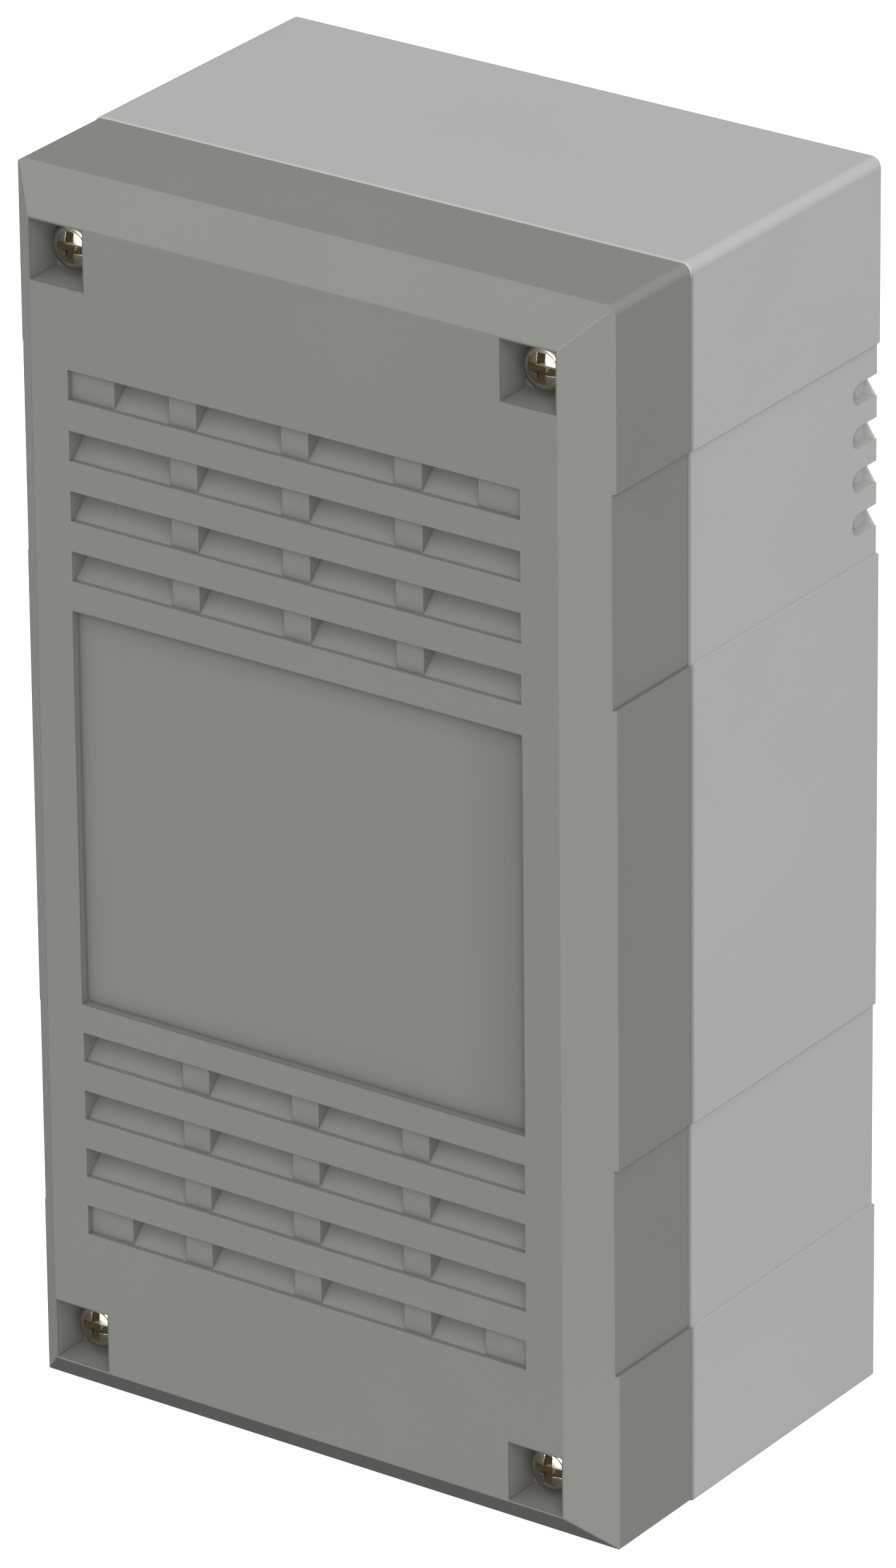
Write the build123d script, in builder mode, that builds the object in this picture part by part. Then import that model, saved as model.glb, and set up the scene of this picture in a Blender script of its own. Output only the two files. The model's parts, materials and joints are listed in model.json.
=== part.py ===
from build123d import *
import os

os.makedirs("parts", exist_ok=True)

# Wall-mounted, louvred switchboard enclosure with a rail of terminals inside.
# Millimetres, +Z up.  The lid faces -Y and the wall face is +Y.
# The origin is at the middle of the bottom face of the bounding box.

# ---- enclosure ---------------------------------------------------------------
WIDTH = 110.0
HEIGHT = 207.0
DEPTH = 77.4
LID_DEPTH = 25.8
BASE_WALL = 2.5
BACK_WALL = 2.9
EDGE_RADIUS = 1.7            # rounding of the base's two upper front-to-back edges
LID_EDGE_RADIUS = 1.5
LOWER_EDGE_RADIUS = 0.3      # the two lower ones are nearly sharp, on both shells
RIM_RADIUS = 0.4             # soft front rim of the base
BEVEL = 6.2                  # 45 degree bevel round the lid front
BEVEL_SOFTENING = 0.35
LID_INSET = 0.2              # the lid is this much smaller than the base on each side
LID_WALL = 2.55

Y_FRONT = -DEPTH / 2
Y_BACK = DEPTH / 2
Y_JOINT = Y_FRONT + LID_DEPTH
MID_Z = HEIGHT / 2
BASE_DEPTH = DEPTH - LID_DEPTH
Y_FLOOR = Y_BACK - BACK_WALL         # inner face of the back wall
LID_WIDTH = WIDTH - 2 * LID_INSET
LID_HEIGHT = HEIGHT - 2 * LID_INSET
INNER_WIDTH = WIDTH - 2 * BASE_WALL
INNER_HEIGHT = HEIGHT - 2 * BASE_WALL

# ---- side bands: shallow recesses level with the two louvre groups -----------
BAND_START = 30.2            # from the top and from the bottom edge
BAND_HEIGHT = 35.0
BAND_DEPTH = 0.5
BAND_PITCH = HEIGHT - 2 * BAND_START - BAND_HEIGHT

# ---- lid louvres -------------------------------------------------------------
FIELD_WIDTH = 83.4           # width of the louvre rows and of the label field
GROOVE_DEPTH = 0.95
LOUVRE_HEIGHT = 5.0
LOUVRE_PITCH = 10.0
ROWS_PER_GROUP = 4
LOUVRE_RIB = 5.0             # rib between two louvres of a row
LOUVRE_INNER = 15.8          # width of the two middle louvres
LOUVRE_OUTER = (FIELD_WIDTH - 3 * LOUVRE_RIB - 2 * LOUVRE_INNER) / 2
END_BLANK = 8.1              # closed ends of the first and last row
BLADE_THICKNESS = 1.6

# ---- label field -------------------------------------------------------------
LABEL_HEIGHT = 66.6
LABEL_DEPTH = 1.25           # visible depth, down to the plate
LABEL_PLATE = 0.5
LABEL_GAP = 0.18
LABEL_BACKING = 1.8          # plastic left behind the plate

# ---- lid screws --------------------------------------------------------------
SCREW_PITCH_X = 86.6
SCREW_PITCH_Z = 183.4
POCKET_SIDE = 9.9
POCKET_DEPTH = 6.7
POCKET_WALL = 2.25
POCKET_FLOOR = 2.5
BOSS_DIAMETER = 9.6
SHANK_DIAMETER = 4.0
SHANK_HOLE = 4.4
THREAD_PITCH = 0.7
THREAD_DEPTH = 0.4
THREAD_TURNS = 20
SHANK_LENGTH = 30.0
HEAD_DIAMETER = 8.3
HEAD_RIM = 1.0
HEAD_HEIGHT = 2.6
DOME_RADIUS = 11.0           # of the slightly domed top of the head
DOME_ANGLE = 14.5            # half angle of that dome
HEAD_SHOULDER_OUT = 0.9      # share of the head's radius at the shoulder of its rim
HEAD_SHOULDER_UP = 0.72      # share of its height there
TIP_CHAMFER = 0.5
CROSS_SPAN = 5.2
CROSS_WING = 1.5
CROSS_DEPTH = 1.9
CROSS_TAPER = 12.0
WASHER_DIAMETER = 8.0
WASHER_THICKNESS = 0.8
SLIP = 0.05                  # radial play of shafts in their holes

# ---- base details ------------------------------------------------------------
INSERT_DIAMETER = 5.6
INSERT_LENGTH = 8.0
INSERT_GROOVES = (0.3, 0.7)  # where they start, as shares of the length
INSERT_GROOVE_WIDTH = 1.0
INSERT_GROOVE_DEPTH = 0.4
BORE_DEPTH = 14.0
RIB_THICKNESS = 2.0
RIB_SETBACK = 4.0            # of the column ribs, behind the rim
LIP_LENGTH = 3.0             # lid lip that reaches into the base
LIP_THICKNESS = 1.5
LIP_ROOT = 4.0
WALL_HOLE_PITCH_X = 72.0
WALL_HOLE_PITCH_Z = 160.0
WALL_HOLE = 4.5
PAD_DIAMETER = 11.0
PAD_HEIGHT = 1.5
VENT_TOP = 171.6             # top of the highest rear slot
VENT_PITCH = 7.2
VENT_HEIGHT = 3.6
VENT_LENGTH = 6.6            # along the side wall, from the back face
VENT_WEB = 0.5               # thickness of the web across the lower corner of each slot
VENT_WEB_WIDTH = 1.85
VENT_WEB_HEIGHT = 2.7
VENTS = 4

# ---- cable entries in the bottom wall ---------------------------------------
ENTRY_PITCH = 44.0
ENTRY_Y = 12.0
ENTRY_HOLE = 16.0
ENTRY_RECESS = 20.0
ENTRY_RECESS_DEPTH = 1.2
GROMMET_FLANGE = 21.0
GROMMET_FLANGE_THICKNESS = 1.5
GROMMET_NECK = 12.0
GROMMET_TAPER = 1.0          # the neck is this much thicker at its foot
GROMMET_LEAD = 0.7           # sloping edge of the inner flange
GROMMET_HEIGHT = 9.0
CABLE_BORE = 9.0

# ---- rail and what clips on it ----------------------------------------------
RAIL_Z = MID_Z
RAIL_LENGTH = 96.0
RAIL_HEIGHT = 35.0
RAIL_WEB = 27.0
RAIL_DEPTH = 7.5
RAIL_SHEET = 1.0
RAIL_BEND = 0.8              # inner bend radius
RAIL_SLOT_LENGTH = 15.0
RAIL_SLOT_WIDTH = 5.2
RAIL_SLOT_PITCH = 25.0
RAIL_SLOTS = 4
RAIL_BOSS_HEIGHT = 4.0
RAIL_BOSS_DIAMETER = 9.0
RAIL_SCREW_PITCH = 3 * RAIL_SLOT_PITCH
RAIL_SCREW_LENGTH = 6.0
RAIL_SCREW_HEAD = 7.6
RAIL_SCREW_HEAD_HEIGHT = 2.4
RAIL_SCREW_GAP = 0.5         # under the tip of the screw
RAIL_CROSS_SPAN = 3.9
RAIL_CROSS_WING = 1.0
RAIL_CROSS_DEPTH = 1.4
Y_RAIL_BACK = Y_FLOOR - RAIL_BOSS_HEIGHT
Y_RAIL_FRONT = Y_RAIL_BACK - RAIL_DEPTH

FOOT_PLAY = 0.15             # between a clipped foot and the rail flange
FOOT_HOOK = 1.5
FOOT_LEG = 2.4               # thickness of the leg outside the rail
TERMINAL_WIDTH = 6.2
TERMINAL_TALL = 38.0         # from the rail face
MARKER_LENGTH = 9.0          # slot for a marker on the crown
MARKER_DEPTH = 1.2
TERMINALS = 6
FUSE_WIDTH = 10.0
FUSES = 2
STOP_WIDTH = 8.0
STOP_TOP = 16.0              # from the rail face
STOP_WELL_RADIUS = 3.0
STOP_WELL_DEPTH = 4.0
STOP_SCREW_LENGTH = 12.0
STOP_HEAD_RADIUS = 2.8
STOP_HEAD_HEIGHT = 2.0
STOP_HEAD_SLOT = 1.0
PLATE_THICKNESS = 1.5
STACK_WIDTH = (2 * STOP_WIDTH + FUSES * FUSE_WIDTH + 2 * PLATE_THICKNESS
               + (TERMINALS + 1) * TERMINAL_WIDTH)

CAGE_WIDTH = 4.4
CAGE_LENGTH = 6.4
CAGE_HEIGHT = 7.4
CAGE_MIDDLE = 14.5           # ahead of the rail face
CAGE_WINDOW_WIDTH = 3.2
CAGE_WINDOW_HEIGHT = 4.6
CAGE_PLAY = 0.1
CLAMP_SCREW_DIAMETER = 2.6
CLAMP_HEAD_DIAMETER = 3.8
CLAMP_HEAD_HEIGHT = 2.2
CLAMP_SLOT = 0.7
BAR_WIDTH = 3.0
BAR_THICKNESS = 1.0
ENTRY_FUNNEL = 4.0
SCREW_ACCESS = 4.2
CHAMBER_LENGTH = 10.0        # of the wire funnels and screw wells
CLAMP_NECK = 0.6             # from the top of a cage to the head of its screw
TERMINAL_CAGE = 13.0         # up and down from the rail centre line
FUSE_CAGE = 23.0

# ---- hinged fuse lever -------------------------------------------------------
LEVER_PIVOT_UP = 12.0
LEVER_PIVOT_OUT = 31.0
LEVER_NOSE = 3.8             # radius round the pivot
LEVER_REACH = 25.5
LEVER_WIDTH = 7.2
LEVER_SLOT = 7.6
LEVER_PIN = 1.9
LEVER_DECK = 26.0
LEVER_CHANNEL = 16.6         # half length of the channel
CHEEK_TOP = 34.0
FUSE_LENGTH = 20.0
FUSE_DIAMETER = 5.2
FUSE_GLASS = 4.8
FUSE_CAP = 5.5
FUSE_CENTRE_UP = -1.5
FUSE_PLAY = 0.1
CONTACT_REACH = 8.0          # from the middle of a fuse to each of its contacts
LEVER_LIP = 1.5              # finger lip past the end of the lever
LEVER_STEP = 1.0
LEVER_TOE = 3.0


def facing(y, z=MID_Z):
    """Plane seen from the front: local x is X, local y is Z, normal -Y."""
    return Plane(origin=(0, y, z), x_dir=(1, 0, 0), z_dir=(0, -1, 0))


def shell_outline(width, height, upper_radius):
    """Front view of a shell: two rounded upper corners and two nearly sharp lower ones."""
    with BuildSketch() as outline:
        Rectangle(width, height)
        fillet(outline.vertices().group_by(Axis.Y)[-1], upper_radius)
        fillet(outline.vertices().group_by(Axis.Y)[0], LOWER_EDGE_RADIUS)
    return outline.sketch


def rail_view(x):
    """Plane across the rail: local x is up, local y is out from the rail face, normal +X."""
    return Plane(origin=(x, Y_RAIL_FRONT, RAIL_Z), x_dir=(0, 0, 1), z_dir=(1, 0, 0))


def finish(builder, name):
    """Name the piece and write it as its own STEP file."""
    builder.part.label = name
    export_step(builder.part, f"parts/{name}.step")


# ---- base shell --------------------------------------------------------------
with BuildPart() as base_shell:
    with BuildSketch(facing(Y_BACK)):
        add(shell_outline(WIDTH, HEIGHT, EDGE_RADIUS))
    extrude(amount=BASE_DEPTH)
    with BuildSketch(facing(Y_BACK)):
        with GridLocations(WIDTH, BAND_PITCH, 2, 2):
            Rectangle(2 * BAND_DEPTH, BAND_HEIGHT)
    extrude(amount=BASE_DEPTH, mode=Mode.SUBTRACT)
    fillet(base_shell.faces().sort_by(Axis.Y)[0].edges(), RIM_RADIUS)

    # cavity, leaving the four screw columns
    with BuildSketch(facing(Y_FLOOR)):
        Rectangle(INNER_WIDTH, INNER_HEIGHT)
        with GridLocations(SCREW_PITCH_X, SCREW_PITCH_Z, 2, 2):
            Circle(BOSS_DIAMETER / 2, mode=Mode.SUBTRACT)
    extrude(amount=BASE_DEPTH - BACK_WALL, mode=Mode.SUBTRACT)

    # ribs tie each column to the walls and stop below the lid's lip
    rib_x = (INNER_WIDTH - SCREW_PITCH_X) / 2 + RIM_RADIUS
    rib_z = (INNER_HEIGHT - SCREW_PITCH_Z) / 2 + RIM_RADIUS
    with BuildSketch(facing(Y_FLOOR)):
        with GridLocations(SCREW_PITCH_X + rib_x, SCREW_PITCH_Z, 2, 2):
            Rectangle(rib_x, RIB_THICKNESS)
        with GridLocations(SCREW_PITCH_X, SCREW_PITCH_Z + rib_z, 2, 2):
            Rectangle(RIB_THICKNESS, rib_z)
    extrude(amount=BASE_DEPTH - BACK_WALL - RIB_SETBACK)

    # bosses for the rail, pads round the wall holes
    with BuildSketch(facing(Y_FLOOR, RAIL_Z)):
        with GridLocations(RAIL_SCREW_PITCH, 0, 2, 1):
            Circle(RAIL_BOSS_DIAMETER / 2)
    extrude(amount=RAIL_BOSS_HEIGHT)
    with BuildSketch(facing(Y_FLOOR)):
        with GridLocations(WALL_HOLE_PITCH_X, WALL_HOLE_PITCH_Z, 2, 2):
            Circle(PAD_DIAMETER / 2)
    extrude(amount=PAD_HEIGHT)

    with Locations(facing(Y_JOINT)):
        with GridLocations(SCREW_PITCH_X, SCREW_PITCH_Z, 2, 2):
            CounterBoreHole(SHANK_HOLE / 2, INSERT_DIAMETER / 2 + SLIP / 2, INSERT_LENGTH, BORE_DEPTH)
    with Locations(facing(Y_RAIL_BACK, RAIL_Z)):
        with GridLocations(RAIL_SCREW_PITCH, 0, 2, 1):
            Hole(SHANK_DIAMETER / 2 + SLIP, RAIL_SCREW_LENGTH)
    with Locations(facing(Y_FLOOR - PAD_HEIGHT)):
        with GridLocations(WALL_HOLE_PITCH_X, WALL_HOLE_PITCH_Z, 2, 2):
            Hole(WALL_HOLE / 2, BACK_WALL + PAD_HEIGHT)

    # cable entries: a hole with a shallow outer recess for the grommet's flange
    with BuildSketch(Plane.XY):
        with Locations((0, ENTRY_Y)):
            with GridLocations(ENTRY_PITCH, 0, 2, 1):
                Circle(ENTRY_RECESS / 2 + SLIP)
    extrude(amount=ENTRY_RECESS_DEPTH, mode=Mode.SUBTRACT)
    with BuildSketch(Plane.XY):
        with Locations((0, ENTRY_Y)):
            with GridLocations(ENTRY_PITCH, 0, 2, 1):
                Circle(ENTRY_HOLE / 2 + SLIP)
    extrude(amount=BASE_WALL, mode=Mode.SUBTRACT)

    # rear ventilation slots: through the side walls, with a round front end and open at
    # the back, where a thin web closes the lower corner of each one
    vent_middle = VENT_TOP - VENT_HEIGHT / 2 - (VENTS - 1) * VENT_PITCH / 2
    with BuildSketch(Plane.YZ):
        with Locations((Y_BACK, vent_middle)):
            with GridLocations(0, VENT_PITCH, 1, VENTS):
                SlotOverall(2 * VENT_LENGTH, VENT_HEIGHT)
    extrude(amount=WIDTH, both=True, mode=Mode.SUBTRACT)
    with BuildSketch(facing(Y_BACK, vent_middle)):
        Rectangle(INNER_WIDTH, VENTS * VENT_PITCH)
    extrude(amount=BACK_WALL)
    web_x = INNER_WIDTH / 2
    web_z = -VENT_HEIGHT / 2
    web_outline = [(web_x, web_z), (web_x + VENT_WEB_WIDTH, web_z), (web_x, web_z + VENT_WEB_HEIGHT)]
    with BuildSketch(facing(Y_BACK, vent_middle)):
        with GridLocations(0, VENT_PITCH, 1, VENTS):
            Polygon(*web_outline, align=None)
        mirror(about=Plane.YZ)
    extrude(amount=VENT_WEB)
finish(base_shell, "base_shell")

# ---- lid cover ---------------------------------------------------------------
with BuildPart() as lid_cover:
    with BuildSketch(facing(Y_JOINT)):
        Rectangle(LID_WIDTH, LID_HEIGHT)
    extrude(amount=LID_DEPTH)
    chamfer(lid_cover.faces().sort_by(Axis.Y)[0].edges(), BEVEL)
    offset(amount=-LID_WALL, openings=lid_cover.faces().sort_by(Axis.Y)[-1])
    mitres = lid_cover.edges().filter_by(lambda edge: abs(abs(edge.tangent_at(0).X) - 3 ** -0.5) < 0.01)
    outer_mitres = mitres.sort_by(SortBy.LENGTH)[-4:]
    front_edges = lid_cover.faces().sort_by(Axis.Y)[0].edges()
    fillet(front_edges + outer_mitres, BEVEL_SOFTENING)
    with BuildSketch(facing(Y_JOINT)):
        add(shell_outline(LID_WIDTH, LID_HEIGHT, LID_EDGE_RADIUS))
    extrude(amount=LID_DEPTH, mode=Mode.INTERSECT)
    with BuildSketch(facing(Y_JOINT)):
        with GridLocations(LID_WIDTH, BAND_PITCH, 2, 2):
            Rectangle(2 * BAND_DEPTH, BAND_HEIGHT)
    extrude(amount=LID_DEPTH, mode=Mode.SUBTRACT)

    # lip that reaches into the base
    lip_width = LID_WIDTH - 2 * LID_WALL
    lip_height = LID_HEIGHT - 2 * LID_WALL
    with BuildSketch(facing(Y_JOINT + LIP_LENGTH)):
        Rectangle(lip_width, lip_height)
        Rectangle(lip_width - 2 * LIP_THICKNESS, lip_height - 2 * LIP_THICKNESS, mode=Mode.SUBTRACT)
    extrude(amount=LIP_LENGTH + LIP_ROOT)

    # screw towers: square pocket from the front, round boss down to the base column
    with BuildSketch(facing(Y_FRONT + POCKET_DEPTH + POCKET_FLOOR)):
        with GridLocations(SCREW_PITCH_X, SCREW_PITCH_Z, 2, 2):
            Rectangle(POCKET_SIDE + 2 * POCKET_WALL, POCKET_SIDE + 2 * POCKET_WALL)
    extrude(amount=POCKET_DEPTH + POCKET_FLOOR - LID_WALL)
    with BuildSketch(facing(Y_JOINT)):
        with GridLocations(SCREW_PITCH_X, SCREW_PITCH_Z, 2, 2):
            Circle(BOSS_DIAMETER / 2)
    extrude(amount=LID_DEPTH - POCKET_DEPTH - POCKET_FLOOR)
    with BuildSketch(facing(Y_FRONT + POCKET_DEPTH)):
        with GridLocations(SCREW_PITCH_X, SCREW_PITCH_Z, 2, 2):
            Rectangle(POCKET_SIDE, POCKET_SIDE)
    extrude(amount=POCKET_DEPTH, mode=Mode.SUBTRACT)
    with Locations(facing(Y_FRONT)):
        with GridLocations(SCREW_PITCH_X, SCREW_PITCH_Z, 2, 2):
            Hole(SHANK_HOLE / 2, LID_DEPTH)

    # label field, with more plastic behind it
    with BuildSketch(facing(Y_FRONT + LABEL_DEPTH + LABEL_PLATE + LABEL_BACKING)):
        Rectangle(FIELD_WIDTH + 2 * LABEL_BACKING, LABEL_HEIGHT + 2 * LABEL_BACKING)
    extrude(amount=LABEL_BACKING)
    with BuildSketch(facing(Y_FRONT + LABEL_DEPTH + LABEL_PLATE)):
        Rectangle(FIELD_WIDTH, LABEL_HEIGHT)
    extrude(amount=LABEL_DEPTH + LABEL_PLATE, mode=Mode.SUBTRACT)

    # louvre rows, given by the lower edge of each opening
    group_low = [BAND_START + row * LOUVRE_PITCH for row in range(ROWS_PER_GROUP)]
    group_high = [HEIGHT - low - LOUVRE_HEIGHT for low in group_low]
    rows = sorted(group_low + group_high)
    y_groove = Y_FRONT + GROOVE_DEPTH
    y_ramp = y_groove + LOUVRE_HEIGHT

    # solid bank behind each row
    with BuildSketch(Plane.YZ):
        for low in rows:
            with BuildLine():
                Polyline(
                    (y_groove, low - BLADE_THICKNESS),
                    (y_groove, low + LOUVRE_HEIGHT),
                    (y_ramp + BLADE_THICKNESS, low + LOUVRE_HEIGHT),
                    close=True,
                )
            make_face()
    extrude(amount=FIELD_WIDTH / 2 + BLADE_THICKNESS, both=True)
    with BuildSketch(facing(Y_FRONT, 0)):
        for low in rows:
            with Locations((0, low + LOUVRE_HEIGHT / 2)):
                Rectangle(FIELD_WIDTH, LOUVRE_HEIGHT)
    extrude(amount=-GROOVE_DEPTH, mode=Mode.SUBTRACT)

    # each louvre is a 45 degree ramp cut into the bank, open to the inside at its top
    middle_x = (LOUVRE_RIB + LOUVRE_INNER) / 2
    outer_x = LOUVRE_RIB / 2 + LOUVRE_INNER + LOUVRE_RIB + LOUVRE_OUTER / 2
    short_width = LOUVRE_OUTER - END_BLANK
    short_x = outer_x - END_BLANK / 2
    end_rows = [rows[0], rows[-1]]
    inner_rows = rows[1:-1]
    louvre_sets = [
        (middle_x, LOUVRE_INNER, rows),
        (outer_x, LOUVRE_OUTER, inner_rows),
        (short_x, short_width, end_rows),
    ]
    for louvre_x, louvre_width, louvre_rows in louvre_sets:
        for side in (-1, 1):
            with BuildSketch(Plane.YZ.offset(side * louvre_x)):
                for low in louvre_rows:
                    with BuildLine():
                        Polyline(
                            (Y_FRONT, low),
                            (Y_FRONT, low + LOUVRE_HEIGHT),
                            (y_ramp, low + LOUVRE_HEIGHT),
                            (y_groove, low),
                            close=True,
                        )
                    make_face()
            extrude(amount=louvre_width / 2, both=True, mode=Mode.SUBTRACT)
finish(lid_cover, "lid_cover")

# ---- blank label plate -------------------------------------------------------
with BuildPart() as label_plate:
    with BuildSketch(facing(Y_FRONT + LABEL_DEPTH + LABEL_PLATE)):
        Rectangle(FIELD_WIDTH - 2 * LABEL_GAP, LABEL_HEIGHT - 2 * LABEL_GAP)
    extrude(amount=LABEL_PLATE)
finish(label_plate, "label_plate")

# ---- lid screws, captive washers and brass inserts ---------------------------
Y_HEAD = Y_FRONT + POCKET_DEPTH - WASHER_THICKNESS      # underside of the screw head
CORNERS = {
    "top_left": (-1, 1),
    "top_right": (1, 1),
    "bottom_left": (-1, -1),
    "bottom_right": (1, -1),
}


# one screw, standing on the origin with its shank towards +Y, with ridges for its thread
thread_start = SHANK_LENGTH - TIP_CHAMFER - THREAD_TURNS * THREAD_PITCH
shank_radius = SHANK_DIAMETER / 2
head_radius = HEAD_DIAMETER / 2
shank_outline = [(0, 0), (shank_radius, 0), (shank_radius, thread_start)]
for turn in range(THREAD_TURNS):
    turn_start = thread_start + turn * THREAD_PITCH
    shank_outline.append((shank_radius - THREAD_DEPTH, turn_start + THREAD_PITCH / 2))
    shank_outline.append((shank_radius, turn_start + THREAD_PITCH))
shank_outline += [(shank_radius - TIP_CHAMFER, SHANK_LENGTH), (0, SHANK_LENGTH)]
shoulder = (HEAD_SHOULDER_OUT * head_radius, -HEAD_SHOULDER_UP * HEAD_HEIGHT)

with BuildPart() as screw_master:
    with BuildSketch(Plane.XY):
        with BuildLine():
            Polyline(*shank_outline, close=True)
        make_face()
        with BuildLine():
            dome = CenterArc((0, DOME_RADIUS - HEAD_HEIGHT), DOME_RADIUS, -90, DOME_ANGLE)
            ThreePointArc(dome @ 1, shoulder, (head_radius, -HEAD_RIM))
            Polyline((head_radius, -HEAD_RIM), (head_radius, 0), (0, 0), (0, -HEAD_HEIGHT))
        make_face()
    revolve(axis=Axis.Y)
    with BuildSketch(facing(-HEAD_HEIGHT, 0)):
        Rectangle(CROSS_SPAN, CROSS_WING)
        Rectangle(CROSS_WING, CROSS_SPAN)
    extrude(amount=-CROSS_DEPTH, taper=CROSS_TAPER, mode=Mode.SUBTRACT)

# its captive washer, from the underside of the head to the pocket floor
with BuildPart() as washer_master:
    with BuildSketch(facing(WASHER_THICKNESS, 0)):
        Circle(WASHER_DIAMETER / 2)
        Circle(SHANK_DIAMETER / 2 + SLIP, mode=Mode.SUBTRACT)
    extrude(amount=WASHER_THICKNESS)

for corner, (side, level) in CORNERS.items():
    screw_x = side * SCREW_PITCH_X / 2
    screw_z = MID_Z + level * SCREW_PITCH_Z / 2
    with BuildPart() as lid_screw:
        with Locations((screw_x, Y_HEAD, screw_z)):
            add(screw_master.part)
    finish(lid_screw, f"lid_screw_{corner}")
    with BuildPart() as screw_washer:
        with Locations((screw_x, Y_HEAD, screw_z)):
            add(washer_master.part)
    finish(screw_washer, f"screw_washer_{corner}")

with BuildPart() as threaded_inserts:
    with BuildSketch(facing(Y_JOINT)):
        with GridLocations(SCREW_PITCH_X, SCREW_PITCH_Z, 2, 2):
            Circle(INSERT_DIAMETER / 2)
            Circle(SHANK_DIAMETER / 2 + SLIP, mode=Mode.SUBTRACT)
    extrude(amount=-INSERT_LENGTH)
    # knurled body between two flanges
    for share in INSERT_GROOVES:
        with BuildSketch(facing(Y_JOINT + share * INSERT_LENGTH)):
            with GridLocations(SCREW_PITCH_X, SCREW_PITCH_Z, 2, 2):
                Circle(INSERT_DIAMETER / 2)
                Circle(INSERT_DIAMETER / 2 - INSERT_GROOVE_DEPTH, mode=Mode.SUBTRACT)
        extrude(amount=-INSERT_GROOVE_WIDTH, mode=Mode.SUBTRACT)
finish(threaded_inserts, "threaded_inserts")

# ---- cable grommets ----------------------------------------------------------
for grommet_name, grommet_side in (("cable_grommet_left", -1), ("cable_grommet_right", 1)):
    grommet_x = grommet_side * ENTRY_PITCH / 2
    grommet_plane = Plane(origin=(grommet_x, ENTRY_Y, 0), x_dir=(1, 0, 0), z_dir=(0, -1, 0))
    with BuildPart() as grommet:
        with BuildSketch(grommet_plane):
            with BuildLine():
                Polyline(
                    (CABLE_BORE / 2, 0),
                    (ENTRY_RECESS / 2, 0),
                    (ENTRY_RECESS / 2, ENTRY_RECESS_DEPTH),
                    (ENTRY_HOLE / 2, ENTRY_RECESS_DEPTH),
                    (ENTRY_HOLE / 2, BASE_WALL),
                    (GROMMET_FLANGE / 2, BASE_WALL),
                    (GROMMET_FLANGE / 2 - GROMMET_LEAD, BASE_WALL + GROMMET_FLANGE_THICKNESS),
                    (GROMMET_NECK / 2 + GROMMET_TAPER, BASE_WALL + GROMMET_FLANGE_THICKNESS),
                    (GROMMET_NECK / 2, GROMMET_HEIGHT),
                    (CABLE_BORE / 2, GROMMET_HEIGHT),
                    close=True,
                )
            make_face()
        revolve(axis=Axis((grommet_x, ENTRY_Y, 0), (0, 0, 1)))
    finish(grommet, grommet_name)

# ---- rail --------------------------------------------------------------------
with BuildPart() as din_rail:
    half = RAIL_HEIGHT / 2
    half_web = RAIL_WEB / 2
    with BuildSketch(rail_view(0)):
        with BuildLine():
            Polyline(
                (half, 0),
                (half_web - RAIL_SHEET, 0),
                (half_web - RAIL_SHEET, RAIL_SHEET - RAIL_DEPTH),
                (RAIL_SHEET - half_web, RAIL_SHEET - RAIL_DEPTH),
                (RAIL_SHEET - half_web, 0),
                (-half, 0),
                (-half, -RAIL_SHEET),
                (-half_web, -RAIL_SHEET),
                (-half_web, -RAIL_DEPTH),
                (half_web, -RAIL_DEPTH),
                (half_web, -RAIL_SHEET),
                (half, -RAIL_SHEET),
                close=True,
            )
        make_face()
    extrude(amount=RAIL_LENGTH / 2, both=True)
    inner_bends = din_rail.edges().filter_by(Axis.X).group_by(Axis.Y)[-1]
    fillet(inner_bends, RAIL_BEND)
    with BuildSketch(facing(Y_RAIL_BACK, RAIL_Z)):
        with GridLocations(RAIL_SLOT_PITCH, 0, RAIL_SLOTS, 1):
            SlotOverall(RAIL_SLOT_LENGTH, RAIL_SLOT_WIDTH)
    extrude(amount=RAIL_SHEET, mode=Mode.SUBTRACT)
finish(din_rail, "din_rail")

with BuildPart() as rail_screws:
    with BuildSketch(facing(Y_RAIL_BACK - RAIL_SHEET, RAIL_Z)):
        with GridLocations(RAIL_SCREW_PITCH, 0, 2, 1):
            Circle(RAIL_SCREW_HEAD / 2)
    extrude(amount=RAIL_SCREW_HEAD_HEIGHT)
    fillet(rail_screws.faces().sort_by(Axis.Y)[0:2].edges(), RAIL_SCREW_HEAD_HEIGHT / 2)
    with BuildSketch(facing(Y_RAIL_BACK - RAIL_SHEET, RAIL_Z)):
        with GridLocations(RAIL_SCREW_PITCH, 0, 2, 1):
            Circle(SHANK_DIAMETER / 2)
    extrude(amount=-(RAIL_SCREW_LENGTH + RAIL_SHEET - RAIL_SCREW_GAP))
    with BuildSketch(facing(Y_RAIL_BACK - RAIL_SHEET - RAIL_SCREW_HEAD_HEIGHT, RAIL_Z)):
        with GridLocations(RAIL_SCREW_PITCH, 0, 2, 1):
            Rectangle(RAIL_CROSS_SPAN, RAIL_CROSS_WING)
            Rectangle(RAIL_CROSS_WING, RAIL_CROSS_SPAN)
    extrude(amount=-RAIL_CROSS_DEPTH, taper=CROSS_TAPER, mode=Mode.SUBTRACT)
finish(rail_screws, "rail_screws")


# ---- pieces that clip on the rail --------------------------------------------
def clip_outline(crown):
    """Closed outline of a rail-mounted housing: hooked foot below, crown points above.

    The crown is given for the upper half, from the foot outwards, and mirrored.
    """
    half = RAIL_HEIGHT / 2 + FOOT_PLAY
    under = -(RAIL_SHEET + FOOT_PLAY)
    foot = [
        (half, 0),
        (half, under),
        (half - FOOT_HOOK - FOOT_PLAY, under),
        (half - FOOT_HOOK - FOOT_PLAY, under - FOOT_HOOK),
        (half + FOOT_LEG, under - FOOT_HOOK),
    ]
    upper = foot + crown
    return upper + [(-up, out) for up, out in reversed(upper)]


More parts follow.
